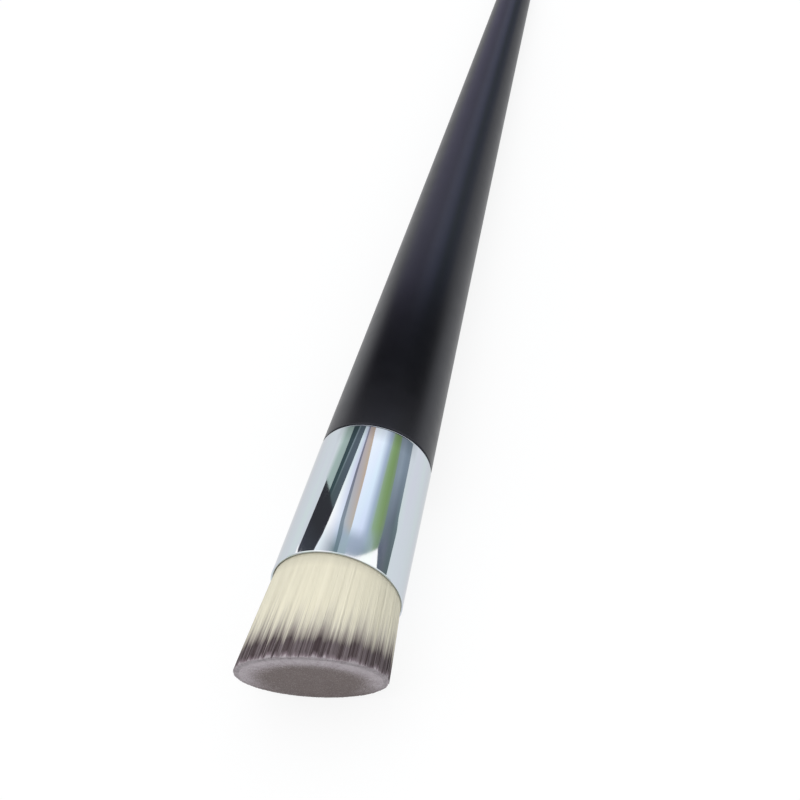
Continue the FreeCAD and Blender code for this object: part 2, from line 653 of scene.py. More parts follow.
@dataclass
class Handle:
    """Turned and lacquered handle: ball tail, hollow taper and the tenon inside the ferrule."""

    length: float = 126.0 * MM
    shoulder_step: float = 0.05 * MM
    shoulder_round: float = 0.3 * MM
    tail_radius: float = 3.0 * MM
    hollow: float = 0.12 * MM
    glue_line: float = 0.35 * MM
    tenon_length: float = 12.0 * MM
    tenon_bevel: float = 0.6 * MM
    sides: int = 160
    taper_rings: int = 60
    tail_rings: int = 12

    def outline(self, ferrule: Ferrule) -> list[tuple[float, float]]:
        """Outline from the tail's end to the tenon's end.

        Args:
            ferrule: The ferrule that the tenon sits in and the shoulder meets.

        Returns:
            (x, radius) points.
        """
        shoulder_x, shoulder_radius = -ferrule.length, ferrule.rear_radius - self.shoulder_step
        tail_x = shoulder_x - self.length + self.tail_radius
        points = []
        for ring in range(self.tail_rings):
            angle = math.pi / 2 * ring / self.tail_rings
            points.append((tail_x - self.tail_radius * math.cos(angle), self.tail_radius * math.sin(angle)))
        for ring in range(self.taper_rings + 1):
            share = ring / self.taper_rings
            straight = self.tail_radius + (shoulder_radius - self.tail_radius) * share
            points.append((tail_x + (shoulder_x - tail_x) * share, straight - self.hollow * bulge(share)))
        tenon_x = shoulder_x + self.tenon_length
        tenon_radius = ferrule.rear_radius - ferrule.wall - self.glue_line
        points += [
            (shoulder_x, tenon_radius),
            (tenon_x - self.tenon_bevel, tenon_radius),
            (tenon_x, tenon_radius - self.tenon_bevel),
            (tenon_x, 0),
        ]
        return points

    def build(self, axis: BrushAxis, ferrule: Ferrule) -> bpy.types.Object:
        """Makes the handle.

        Args:
            axis: Where the brush lies.
            ferrule: The ferrule that it sits in.

        Returns:
            The handle.
        """
        bm = turned(self.outline(ferrule), self.sides, closed=False)
        round_edges(bm, -ferrule.length, [ferrule.rear_radius - self.shoulder_step], self.shoulder_round)
        handle = finished(bm, "turned_handle", axis, SatinLacquer().build())
        even_walls(handle)
        hand_over(handle, Slot.LACQUER, "handle")
        return handle


@dataclass(frozen=True)
class Bundle:
    """Filaments of one kind, between two radii of the tuft, both given as shares of its own radius.

    The crowd is how many of them the whole tuft would hold. A filament has as many sides as given,
    and a ring of points at each share of its length.
    """

    name: str
    crowd: int
    inner: float
    outer: float
    width: float
    tip_width: float
    sides: int
    rings: tuple[float, ...]
    rounded: bool

    def spots(self) -> np.ndarray:
        """Where its filaments stand.

        Returns:
            Their (y, z) spots on a disc of radius 1.
        """
        spots = sunflower(self.crowd)
        radius = np.hypot(spots[:, 0], spots[:, 1])
        return spots[(radius >= self.inner) & (radius < self.outer)]

    def template(self) -> tuple[np.ndarray, list[list[int]]]:
        """One straight filament of unit length and radius along X, made with extrusions.

        Returns:
            Its points, and the point numbers of its faces, the tip's face last.
        """
        bm = bmesh.new()
        turn = Matrix.Rotation(math.pi / 2, 4, "Y")
        ring = bmesh.ops.create_circle(bm, segments=self.sides, radius=1.0, matrix=turn)
        edges = list({edge for vert in ring["verts"] for edge in vert.link_edges})
        for start, end in zip(self.rings, self.rings[1:]):
            grown = bmesh.ops.extrude_edge_only(bm, edges=edges)["geom"]
            points = [item for item in grown if isinstance(item, bmesh.types.BMVert)]
            edges = [item for item in grown if isinstance(item, bmesh.types.BMEdge)]
            edges = [edge for edge in edges if all(vert in points for vert in edge.verts)]
            bmesh.ops.translate(bm, verts=points, vec=(end - start, 0, 0))
        bmesh.ops.contextual_create(bm, geom=edges)
        bmesh.ops.recalc_face_normals(bm, faces=bm.faces)
        bm.verts.index_update()
        points = np.array([vert.co[:] for vert in bm.verts])
        faces = [[vert.index for vert in face.verts] for face in bm.faces]
        bm.free()
        tip = [face for face in faces if all(points[corner][0] > 1 - TOUCHING for corner in face)]
        return points, [face for face in faces if face not in tip] + tip


def sunflower(count: int) -> np.ndarray:
    """Evenly spread spots on a disc of radius 1, on a sunflower's spiral.

    Args:
        count: How many spots.

    Returns:
        Array of (y, z) spots.
    """
    index = np.arange(count)
    radius = np.sqrt((index + 0.5) / count)
    angle = index * math.pi * (3 - math.sqrt(5))
    return np.stack([radius * np.cos(angle), radius * np.sin(angle)], 1)


class Ripple(Enum):
    """Ripples in the dye: the fewest and the most waves that each has round the tuft."""

    LINE = (10, 90)
    REACH = (20, 140)
    CORES = (8, 56)
    STREAKS = (60, 200)
    HAIRS = (160, 420)


@dataclass
class DyeAndLitRim:
    """How the dye took: in ripples round the tuft, and differently from one small wisp to the next.

    The band is marked by how far up it lies (shift), how far it fades (reach) and how dark it is
    (strength). Each of these has a mean, a share of some ripples, a spread between wisps, and limits.
    The lit rim is a painted highlight round the trimmed face, stronger on its upper side, with painted shade
    in the face's middle. Its places are shares of the tuft's radius.
    """

    random: np.random.RandomState
    waves: int = 20
    wisp: float = 0.018
    band_line: float = 2.5 * MM
    shift_line: float = 0.25 * MM
    shift_cores: float = 0.08 * MM
    shift_hairs: float = 0.1 * MM
    shift_mean: float = 0.15 * MM
    shift_spread: float = 0.16 * MM
    shift_limits: tuple[float, float] = (-0.3 * MM, 0.8 * MM)
    shift_at_tip: float = 0.12
    tip_zone: float = 0.01 * MM
    reach_ripple: float = 0.09
    reach_cores: float = 0.06
    reach_spread: float = 0.1
    reach_limits: tuple[float, float] = (0.6, 1.7)
    strength: float = 0.8
    strength_cores: float = 0.15
    strength_streaks: float = 0.13
    strength_hairs: float = 0.13
    strength_spread: float = 0.06
    streaked: float = 0.04
    streak_reach: tuple[float, float] = (1.4, 2.0)
    streak_strength: tuple[float, float] = (0.3, 0.6)
    # The lit rim is a painted highlight round the trimmed face; rim_level and rim_slope make it stronger on
    # the upper side.
    rim_centre: float = -0.08
    rim_from: float = 0.54
    rim_width: float = 0.42
    rim_level: float = 1.3
    rim_slope: float = 1.7
    rim_least: float = 0.1
    rim_spread: float = 0.18
    rim_depth: float = 0.8 * MM
    ripples: dict[Ripple, tuple[np.ndarray, np.ndarray]] = field(init=False)

    def __post_init__(self) -> None:
        """Draws the ripples' waves and their starts."""
        self.ripples = {}
        for ripple in Ripple:
            turns = self.random.randint(*ripple.value, self.waves)
            self.ripples[ripple] = (turns, self.random.uniform(0, 2 * math.pi, self.waves))

    def height(self, ripple: Ripple, spots: np.ndarray) -> np.ndarray:
        """Smooth random ripple round the tuft, with a spread of 1.

        Args:
            ripple: Which ripple.
            spots: (y, z) of the filaments on a disc of radius 1.

        Returns:
            The ripple's height at each filament.
        """
        turns, starts = self.ripples[ripple]
        angle = np.arctan2(spots[:, 1], spots[:, 0])
        return np.sin(angle[:, None] * turns + starts).sum(1) * math.sqrt(2 / self.waves)

    def marks(self, spots: np.ndarray, from_tip: np.ndarray) -> dict[str, np.ndarray]:
        """Marks of the dye on each filament, with the painted light and shade of the lit rim.

        Args:
            spots: (y, z) of the filaments on a disc of radius 1.
            from_tip: Distance of each point of each filament from its tip.

        Returns:
            Values of each attribute, for each point of each filament.
        """
        draw = self.random
        wisp = np.unique(np.round(spots / self.wisp), axis=0, return_inverse=True)[1].ravel()
        wisps = wisp.max() + 1
        cores, hairs = self.height(Ripple.CORES, spots), self.height(Ripple.HAIRS, spots)
        shift = self.height(Ripple.LINE, spots) * self.shift_line
        shift = shift - cores * self.shift_cores - hairs * self.shift_hairs
        shift = shift + draw.normal(self.shift_mean, self.shift_spread, wisps)[wisp]
        reach = 1 + self.height(Ripple.REACH, spots) * self.reach_ripple + cores * self.reach_cores
        reach = np.clip(reach + draw.normal(0, self.reach_spread, wisps)[wisp], *self.reach_limits)
        streaked = (draw.uniform(0, 1, wisps) < self.streaked)[wisp]
        reach = np.where(streaked, draw.uniform(*self.streak_reach, wisps)[wisp], reach)
        past = np.maximum(0, from_tip - self.band_line)
        marked = np.minimum(from_tip, self.band_line) + past / reach[:, None]
        kept = np.where(from_tip < self.tip_zone, self.shift_at_tip, 1)
        marked = marked + np.clip(shift, *self.shift_limits)[:, None] * kept
        strength = self.strength + cores * self.strength_cores + hairs * self.strength_hairs
        strength = strength + self.height(Ripple.STREAKS, spots) * self.strength_streaks
        strength = strength + draw.normal(0, self.strength_spread, wisps)[wisp]
        strength = np.where(streaked, draw.uniform(*self.streak_strength, wisps)[wisp], strength)
        dye = np.clip(strength, 0, 1)[:, None] * np.ones_like(from_tip)
        return {"from_tip": marked, "dye": dye, "lit_rim": self.lit_rim(spots, from_tip)}

    def lit_rim(self, spots: np.ndarray, from_tip: np.ndarray) -> np.ndarray:
        """Painted light and shade on the trimmed face: how far each point is from its shaded middle.

        Args:
            spots: (y, z) of the filaments on a disc of radius 1.
            from_tip: Distance of each point of each filament from its tip.

        Returns:
            0 in the painted shade of the face's middle, and 1 in its painted lit ring and on the filaments'
            sides.
        """
        off_centre = np.hypot(spots[:, 0], spots[:, 1] - self.rim_centre)
        lit_rim = np.clip((off_centre - self.rim_from) / self.rim_width, 0, 1)
        lit_rim = lit_rim * lit_rim * (3 - 2 * lit_rim)
        # Painted light: more of the lit rim on the upper side of the face.
        lit_rim = lit_rim * np.clip(self.rim_level + spots[:, 1] * self.rim_slope, self.rim_least, 1)
        lit_rim = lit_rim + self.random.normal(0, self.rim_spread, len(spots))
        return np.clip(lit_rim[:, None] + from_tip / self.rim_depth, 0, 1)


@dataclass
class Tuft:
    """Flared bundle of filaments, trimmed flat on a slant and set in resin.

    The filaments of its skin stand beyond crown_from of its radius. They gather in locks, and their
    tips are rounded over by the crown and a little ragged.
    """

    length: float = 15.2 * MM
    root_depth: float = 5.0 * MM
    root_radius: float = 9.12 * MM
    face_radius: float = 10.83 * MM
    belly: float = 0.08 * MM
    slant: float = math.radians(22)
    roll: float = math.radians(27)
    evenness: float = 0.92
    locks: int = 380
    clumping: float = 0.1
    gather_power: int = 6
    heart_from: float = 0.68
    crown_from: float = 0.93
    outer_from: float = 0.97
    crown: float = 0.16 * MM
    ragged: float = 0.12 * MM
    uneven: float = 0.05 * MM
    scatter: float = 0.0025
    sway: float = 0.1
    width_spread: tuple[float, float] = (0.85, 1.1)
    lock_tone: float = 0.025
    skin_tone: float = 0.006
    tone_spread: float = 0.008
    tone_limits: tuple[float, float] = (0.8, 1.04)
    # Painted shade along the filaments: tone factors at shares of their length from the root, darkest at the
    # roots in the ferrule's mouth.
    shade_places: tuple = (0.0, 0.3, 0.6)
    shade_tones: tuple = (0.35, 0.96, 1.0)
    slice_thickness: float = 1.5 * MM
    slice_radius: float = 9.35 * MM
    slice_sides: int = 96
    seed: int = 7
    random: np.random.RandomState = field(init=False)
    dye_and_lit_rim: DyeAndLitRim = field(init=False)

    def __post_init__(self) -> None:
        """Starts the random draws."""
        self.random = np.random.RandomState(self.seed)
        self.dye_and_lit_rim = DyeAndLitRim(self.random)

    def face_x(self, spots: np.ndarray) -> np.ndarray:
        """Where the slanted trim cuts lines parallel to the axis.

        Args:
            spots: (y, z) of the lines, in metres.

        Returns:
            The x of each cut.
        """
        towards_long_side = spots[:, 1] * math.cos(self.roll) - spots[:, 0] * math.sin(self.roll)
        return self.length + towards_long_side * math.tan(self.slant)

    def outness(self, spots: np.ndarray) -> np.ndarray:
        """How far out in the skin filaments stand.

        Args:
            spots: (y, z) of the filaments on a disc of radius 1.

        Returns:
            0 inside the skin, and up to 1 at the tuft's edge.
        """
        return np.clip((np.hypot(*spots.T) - self.crown_from) / (1 - self.crown_from), 0, 1)

    def middle_lines(
        self, bundle: Bundle, spots: np.ndarray, centres: np.ndarray, share: np.ndarray
    ) -> tuple[np.ndarray, np.ndarray]:
        """Runs a line from each root to the trimmed face, bowed and gathered into its lock.

        Args:
            bundle: The filaments' kind.
            spots: Their (y, z) on a disc of radius 1.
            centres: (y, z) of the lock that each belongs to.
            share: Places of a filament's points, from 0 at its root to 1 at its tip.

        Returns:
            The lines' points in the brush's own axes, and the filaments' lengths.
        """
        number, draw = len(spots), self.random
        out = self.outness(spots)
        root = np.column_stack([np.full(number, -self.root_depth), spots * self.root_radius])
        flat = (spots + draw.normal(0, self.scatter, (number, 2))) * self.face_radius
        gather = (centres - spots) * self.clumping * self.face_radius * out[:, None]
        trim = draw.uniform(0, 1, number) * (self.uneven + out * self.ragged) + out**2 * self.crown
        tip = np.column_stack([self.face_x(flat + gather) - trim, flat])
        bow = draw.normal(0, self.sway * bundle.width, (number, 2)) + spots * self.belly
        place = root[:, None, :] + (tip - root)[:, None, :] * share[None, :, None]
        place[:, :, 1:] += bulge(share)[None, :, None] * bow[:, None, :]
        place[:, :, 1:] += (share**self.gather_power)[None, :, None] * gather[:, None, :]
        return place, np.linalg.norm(tip - root, axis=1)

    def plant(self, bundle: Bundle, axis: BrushAxis, material: bpy.types.Material) -> bpy.types.Object:
        """Plants the filaments of one bundle.

        Args:
            bundle: Which filaments.
            axis: Where the brush lies.
            material: The filaments' finish.

        Returns:
            The piece.
        """
        spots, locks = bundle.spots(), sunflower(self.locks)
        number, draw = len(spots), self.random
        nearest = ((spots[:, None, :] - locks[None, :, :]) ** 2).sum(2).argmin(1)
        points, faces = bundle.template()
        share = points[:, 0]
        place, length = self.middle_lines(bundle, spots, locks[nearest], share)
        lying = np.array(axis.matrix())
        height = place @ lying[2, :3] + lying[2, 3]
        place[:, :, 2] += np.maximum(0, bundle.width / 2 - height)
        half = (bundle.width + (bundle.tip_width - bundle.width) * share)[None, :] / 2
        half = half * draw.uniform(*self.width_spread, number)[:, None]
        spin = draw.uniform(0, 2 * math.pi, number)[:, None]
        y = points[None, :, 1] * np.cos(spin) - points[None, :, 2] * np.sin(spin)
        z = points[None, :, 1] * np.sin(spin) + points[None, :, 2] * np.cos(spin)
        place[:, :, 1] += y * half
        place[:, :, 2] += z * half
        place = place.reshape(-1, 3) @ lying[:3, :3].T + lying[:3, 3]
        mesh = bpy.data.meshes.new(bundle.name)
        step = np.arange(number)[:, None] * len(points)
        blocks = [step + np.array(face)[None, :] for face in faces]
        mesh.from_pydata(place, [], [row for block in blocks for row in block.tolist()])
        if bundle.rounded:
            self.soften(mesh, spots, faces, np.stack([0 * y, y, z], 2), lying)
        labels = self.dye_and_lit_rim.marks(spots, (1 - share)[None, :] * length[:, None])
        # The tone carries random differences from lock to lock and painted shade at the roots.
        labels["tone"] = self.tone(spots, nearest, share)
        for label, values in labels.items():
            layer = mesh.attributes.new(label, "FLOAT", "POINT")
            layer.data.foreach_set("value", np.ascontiguousarray(values, np.float32).ravel())
        return placed(mesh, bundle.name, material)

    def soften(
        self,
        mesh: bpy.types.Mesh,
        spots: np.ndarray,
        faces: list[list[int]],
        own: np.ndarray,
        lying: np.ndarray,
    ) -> None:
        """Turns the normals of the filaments' sides towards those of the whole tuft.

        Args:
            mesh: The bundle's mesh.
            spots: (y, z) of the filaments on a disc of radius 1.
            faces: Faces of one filament, the tip's last.
            own: Directions from each filament's axis to its points.
            lying: Matrix from the brush's own axes to the row frame.
        """
        number = len(spots)
        mesh.polygons.foreach_set("use_smooth", [True] * len(mesh.polygons))
        own = own / np.linalg.norm(own, axis=2, keepdims=True)
        outward = np.column_stack([np.zeros(number), spots])
        outward /= np.linalg.norm(outward, axis=1, keepdims=True)
        sides = own * (1 - self.evenness) + outward[:, None, :] * self.evenness
        slope = math.tan(self.slant)
        trim_plane = np.array([1, slope * math.sin(self.roll), -slope * math.cos(self.roll)])
        normals = [sides[:, face, :].reshape(-1, 3) for face in faces[:-1]]
        normals.append(np.tile(trim_plane, (number * len(faces[-1]), 1)))
        normals = np.concatenate(normals) @ lying[:3, :3].T
        normals /= np.linalg.norm(normals, axis=1, keepdims=True)
        mesh.normals_split_custom_set(normals)

    def tone(self, spots: np.ndarray, nearest: np.ndarray, share: np.ndarray) -> np.ndarray:
        """How light each filament is: it differs from lock to lock, and painted shade darkens the roots.

        Args:
            spots: (y, z) of the filaments on a disc of radius 1.
            nearest: Number of the lock that each filament belongs to.
            share: Places of a filament's points, from 0 at its root to 1 at its tip.

        Returns:
            Factor on the colour, for each point of each filament.
        """
        draw = self.random
        patch = np.where(self.outness(spots) > 0, self.skin_tone, self.lock_tone)
        tone = 1 + draw.normal(0, 1, self.locks)[nearest] * patch
        tone = tone + draw.normal(0, self.tone_spread, len(spots))
        # Painted shade towards the roots.
        shade = np.interp(share, self.shade_places, self.shade_tones)
        return np.clip(tone, *self.tone_limits)[:, None] * shade

    def bundles(self) -> list[Bundle]:
        """The tuft's filaments, from the core to the skin.

        Returns:
            Plain ones within, and finer ones in the skin, whose points are close where the dye changes.
        """
        plain, fine = (0.0, 1.0), (0.0, 0.3, 0.6, 0.8, 0.9, 0.985, 1.0)
        heart, skin, outer = self.heart_from, self.crown_from, self.outer_from
        return [
            Bundle("core_filaments", 44000, 0.0, heart, 0.16 * MM, 0.2 * MM, 3, plain, False),
            Bundle("heart_filaments", 44000, heart, skin, 0.16 * MM, 0.2 * MM, 3, plain, False),
            Bundle("middle_filaments", 58000, skin, outer, 0.12 * MM, 0.15 * MM, 3, fine, True),
            Bundle("outer_filaments", 58000, outer, 1.0, 0.1 * MM, 0.12 * MM, 4, fine, True),
        ]

    def build(self, axis: BrushAxis) -> list[bpy.types.Object]:
        """Makes the filaments and the slice of resin that holds them.

        Args:
            axis: Where the brush lies.

        Returns:
            The pieces of the tuft.
        """
        finish = DyedFilament().build()
        pieces = [self.plant(bundle, axis, finish) for bundle in self.bundles()]
        front, back = -self.root_depth, -self.root_depth - self.slice_thickness
        outline = [(back, 0), (back, self.slice_radius), (front, self.slice_radius), (front, 0)]
        disc = turned(outline, self.slice_sides, closed=False)
        bed = finished(disc, "resin_slice", axis, HiddenFinish("resin_slice", *RESIN).build())
        for piece in pieces:
            hand_over(piece, Slot.FILAMENT, *(["tuft"] if piece is pieces[-1] else []))
        hand_over(bed, Slot.RESIN)
        return [*pieces, bed]


class HiddenPieces:
    """The pieces inside the ferrule, which keep their CAD shape."""

    FINISHES = {
        "tenon_glue": HiddenFinish("amber_glue", srgb(190, 160, 95), srgb(225, 205, 150), 0.2),
        "resin_plug": HiddenFinish("cast_resin", *RESIN),
        "root_binding": HiddenFinish(
            "bound_thread", srgb(205, 195, 170), srgb(240, 234, 218), 0.8, 900.0, (6.0, 1.0, 1.0)
        ),
    }

    def dress(self) -> None:
        """Gives each hidden node its finish."""
        for node, finish in self.FINISHES.items():
            frame["nodes"][node].material_slots[0].material = finish.build()
            log.info("%s: %s", node, finish.name)


class Station(Enum):
    """Places along the drum of reflector cards, in metres from the ferrule's mouth."""

    TAIL = -1.4
    BACK = -0.60
    REAR = -0.530
    MIDDLE = -0.475
    NEAR = -0.446
    DIM = -0.433
    MOUTH = -0.4222
    LIP = -0.395
    SIDE = 0.0
    FRONT = 0.6


@dataclass(frozen=True)
class CardEdge:
    """Edge between two cards, in degrees round the brush's axis from straight up towards +Y."""

    rear: float
    middle: float
    near: float
    dim: float
    mouth: float
    lip: float

    @classmethod
    def straight(cls, angle: float) -> "CardEdge":
        """An edge at one angle all along the drum."""
        return cls(*[angle] * len(fields(cls)))

    def at(self, station: Station) -> float:
        """The edge's place at a station of the drum.

        Args:
            station: The station; those beyond the named ones take the nearest.

        Returns:
            The angle there, in degrees.
        """
        if station in (Station.TAIL, Station.BACK):
            return self.rear
        if station in (Station.SIDE, Station.FRONT):
            return self.lip
        return getattr(self, station.name.lower())


@dataclass(frozen=True)
class ReflectorCard:
    """Piece of card round the brush that shows only as a reflection.

    At each station named, it carries colours evenly spaced from its left edge to its right. The
    colours run evenly from one such station to the next. Behind the tail they also take on sky light.
    """

    SKY_LIGHT = np.array([0.9, 0.92, 1.28])

    name: str
    left: CardEdge
    right: CardEdge
    first: Station
    last: Station
    colours: dict[Station, tuple]

    def row(self, station: Station, share: float) -> np.ndarray:
        """Colour at one of the named stations.

        Args:
            station: The station.
            share: Place across the card, from 0 at its left edge to 1 at its right.

        Returns:
            Linear red, green and blue.
        """
        stops = np.array([colour[:3] for colour in self.colours[station]])
        places = np.linspace(0, 1, len(stops))
        return np.array([np.interp(share, places, stops[:, channel]) for channel in range(3)])

    def colour(self, station: Station, share: float) -> np.ndarray:
        """The card's colour.

        Args:
            station: Place along the drum.
            share: Place across the card, from 0 at its left edge to 1 at its right.

        Returns:
            Linear red, green and blue.
        """
        named = sorted(self.colours, key=lambda place: place.value)
        places = [place.value for place in named]
        rows = np.array([self.row(place, share) for place in named])
        colour = np.array([np.interp(station.value, places, rows[:, channel]) for channel in range(3)])
        return colour * (self.SKY_LIGHT if station in (Station.TAIL, Station.BACK) else 1)


@dataclass(frozen=True)
class SlantCut:
    """How the cards' ends at a station are cut on a slant."""

    first: float
    most: float
    to_a_degree: float

    def shift(self, angle: float) -> float:
        """Distance of the cut from its station at an angle, in degrees, round the drum."""
        return self.to_a_degree * min(self.most, max(0, angle - self.first))


@dataclass
class Studio:
    """Pale floor, soft light, reflector cards and the camera."""

    CUTS = {Station.NEAR: SlantCut(-62, 20, 0.25 * MM), Station.MOUTH: SlantCut(20, 38, -0.1 * MM)}

    drum_radius: float = 0.5
    card_steps: int = 12
    camera_azimuth: float = math.radians(102.11)
    camera_elevation: float = math.radians(51.355)
    camera_roll: float = math.radians(0.529)
    camera_distance: float = 0.31804
    aim: tuple[float, float, float] = (-38.6 * MM, 1.02 * MM, 0.71 * MM)
    lens: float = 90.0
    sensor: float = 36.0
    clip_start: float = 10.0 * MM
    floor_size: float = 6.0
    floor_colour: tuple = (0.96, 0.96, 0.96, 1.0)
    floor_roughness: float = 0.9
    floor_glow: float = 0.85
    around_colour: tuple = (0.95, 0.975, 1.0, 1.0)
    around_strength: float = 0.92
    lamp_size: float = 0.9
    lamp_power: float = 4.0
    lamp_colour: tuple[float, float, float] = (1.0, 0.985, 0.96)
    lamp_offset: tuple[float, float, float] = (0.35, -0.3, 1.0)
    # The flag is a black sheet seen only in reflections: a painted dark reflection on the front of the
    # handle.
    flag_radius: float = 30.0 * MM
    flag_ends: tuple[float, float] = (-90.0 * MM, -43.0 * MM)
    flag_spread: float = math.radians(82)
    flag_steps: int = 20
    flag_end_cover: float = 2.5
    flag_side_cover: float = 4.0

    def cards(self) -> list[ReflectorCard]:
        """Lists the reflector cards.

        Returns:
            The cards, from the left of the brush to its right.
        """
        horizon = CardEdge(-75, -79, -83, -83, -83, -83)
        sage = CardEdge(-60, -68, -74, -74, -74, -74)
        dark = CardEdge(-51, -57.5, -62, -62, -62, -62)
        line = CardEdge(-30, -49.5, -56, -56, -56, -56)
        seam = CardEdge(-27, -47, -53.5, -53.5, -53.5, -53.5)
        night = CardEdge(-77, -77, -77.5, -79.3, -81.3, -86)
        window = CardEdge(-25, -34.5, -40.8, -42.5, -45.5, -57)
        shade = CardEdge(-23, -22.5, -21, -19, -16, -8)
        grey = CardEdge(-21, -18.5, -14, -10.5, -9.5, -2)
        sky = CardEdge(-18, -2, 2, 2, 4, 12)
        haze = CardEdge(12, 18, 20, 20, 20, 20)
        fog = CardEdge(25, 29, 31, 32, 32, 32)
        leaf = CardEdge(31, 34.5, 37.5, 43, 47, 48)
        bluff = CardEdge(42, 55, 59.5, 60, 58.5, 72)
        edge = CardEdge(69, 80.3, 85, 88, 90.5, 98)
        tail, back, rear, middle, near, dim, mouth, lip, side, front = Station
        pale, white = srgb(204, 213, 220), srgb(250, 253, 255)
        far_sage, near_sage = srgb(155, 174, 170), srgb(160, 177, 178)
        ink, black = srgb(58, 74, 80), srgb(49, 50, 56)
        slate, deep_slate, seam_grey = srgb(82, 95, 105), srgb(74, 86, 92), srgb(118, 132, 142)
        mist, low_mist, night_grey = srgb(156, 172, 191), srgb(140, 157, 174), srgb(62, 66, 76)
        haze_blue, moss, dusk = srgb(161, 177, 201), srgb(148, 168, 165), srgb(214, 214, 224)
        far_left, far_right, behind = (CardEdge.straight(angle) for angle in (-100, 100, -110))
        sage_colours = {rear: (pale, far_sage), near: (pale, near_sage)}
        deep_sage = {rear: (far_sage, srgb(142, 162, 158)), near: (near_sage, srgb(156, 172, 173))}
        front_colours = {lip: (white,), side: (deep_slate, pale, white, mist, white, pale, deep_slate)}
        return [
            ReflectorCard("dusk_card", behind, window, tail, back, {rear: (dusk,)}),
            ReflectorCard("sage_card", horizon, sage, rear, near, sage_colours),
            ReflectorCard("deep_sage_card", sage, dark, rear, near, deep_sage),
            ReflectorCard("ink_card", dark, line, rear, near, {rear: (ink,)}),
            ReflectorCard("line_card", line, seam, rear, near, {middle: (seam_grey,), near: (deep_slate,)}),
            ReflectorCard("slate_card", seam, window, rear, near, {middle: (slate,), near: (deep_slate,)}),
            ReflectorCard("black_card", night, window, near, lip, {mouth: (black,), lip: (night_grey,)}),
            ReflectorCard("window_card", window, shade, tail, lip, {
                rear: (srgb(204, 222, 228), srgb(172, 186, 202)),
                middle: (srgb(214, 232, 236), srgb(200, 206, 230)),
                near: (white, srgb(212, 224, 242)),
                dim: (white, srgb(186, 200, 224)),
                mouth: (srgb(228, 238, 246), srgb(112, 128, 140)),
            }),
            ReflectorCard("shade_card", shade, grey, tail, lip, {
                rear: (srgb(150, 152, 165),),
                middle: (srgb(114, 118, 133),),
                near: (srgb(130, 142, 156),),
                dim: (srgb(120, 137, 152),),
                mouth: (srgb(105, 124, 136),),
            }),
            ReflectorCard("tan_card", grey, sky, tail, lip, {
                rear: (srgb(190, 176, 164), srgb(189, 173, 152), srgb(184, 171, 154)),
                middle: (srgb(171, 169, 177), srgb(177, 172, 172), srgb(186, 168, 149)),
                near: (srgb(174, 182, 192), srgb(182, 174, 168)),
                dim: (mist,),
                mouth: (srgb(152, 168, 182),),
            }),
            ReflectorCard("sky_card", sky, haze, tail, mouth, {
                rear: (srgb(246, 253, 255), srgb(232, 245, 254)),
                middle: (srgb(226, 237, 254), srgb(216, 230, 252)),
                near: (srgb(216, 229, 249), srgb(208, 222, 246)),
                dim: (mist,),
                mouth: (srgb(150, 165, 184), low_mist),
            }),
            ReflectorCard("haze_card", haze, fog, tail, mouth, {
                rear: (srgb(228, 241, 253), haze_blue),
                middle: (srgb(216, 230, 252), haze_blue),
                near: (srgb(208, 222, 246), haze_blue),
                dim: (mist,),
                mouth: (low_mist, srgb(129, 146, 161)),
            }),
            ReflectorCard("fog_card", fog, leaf, tail, mouth, {
                near: (haze_blue, moss),
                dim: (mist, srgb(146, 164, 166)),
                mouth: (srgb(129, 146, 161), srgb(142, 160, 164)),
            }),
            ReflectorCard("leaf_card", leaf, bluff, tail, mouth, {
                middle: (srgb(140, 164, 138), srgb(125, 154, 108), srgb(118, 148, 99), srgb(122, 146, 120)),
                near: (srgb(142, 165, 146), srgb(131, 158, 121), srgb(121, 149, 104), srgb(116, 139, 116)),
                dim: (srgb(146, 164, 166), srgb(132, 154, 136), srgb(119, 146, 118), srgb(112, 132, 122)),
            }),
            ReflectorCard("stone_card", bluff, edge, tail, lip, {
                middle: (srgb(128, 146, 155), srgb(134, 149, 163), srgb(121, 136, 151), srgb(122, 135, 148)),
                near: (srgb(108, 126, 131), srgb(104, 116, 129), srgb(97, 108, 120), srgb(108, 123, 133)),
                dim: (srgb(106, 120, 128), srgb(102, 114, 124), srgb(95, 108, 118), srgb(106, 119, 127)),
                mouth: (srgb(88, 97, 114), srgb(104, 112, 127), srgb(94, 105, 115), srgb(104, 116, 125)),
                lip: (srgb(90, 100, 114), srgb(90, 98, 102), srgb(86, 98, 102), srgb(96, 108, 112)),
            }),
            ReflectorCard("patch_card", sky, bluff, mouth, lip, {mouth: (white,)}),
            ReflectorCard("front_card", far_left, far_right, lip, front, front_colours),
        ]

    def hang(self, card: ReflectorCard, axis: BrushAxis, gain: tuple) -> None:
        """Hangs one card on the drum round the brush.

        Args:
            card: The card.
            axis: Where the brush lies.
            gain: The ferrule's own colour, which its reflection is multiplied by.
        """
        stations = [place for place in Station if card.first.value <= place.value <= card.last.value]
        bm = bmesh.new()
        bmesh.ops.create_grid(bm, x_segments=len(stations) - 1, y_segments=self.card_steps, size=0.5)
        glow = bm.loops.layers.float_color.new("glow")
        for face in bm.faces:
            for loop in face.loops:
                station, share = self.grid_place(loop.vert, stations)
                loop[glow] = (*(card.colour(station, share) / gain), 1.0)
        for vert in bm.verts:
            station, share = self.grid_place(vert, stations)
            low, high = card.left.at(station), card.right.at(station)
            degrees = low + (high - low) * share
            x = station.value + (self.CUTS[station].shift(degrees) if station in self.CUTS else 0)
            vert.co = self.round_brush(x, math.radians(degrees), self.drum_radius)
        self.stand(bm, card.name, axis, self.glowing())

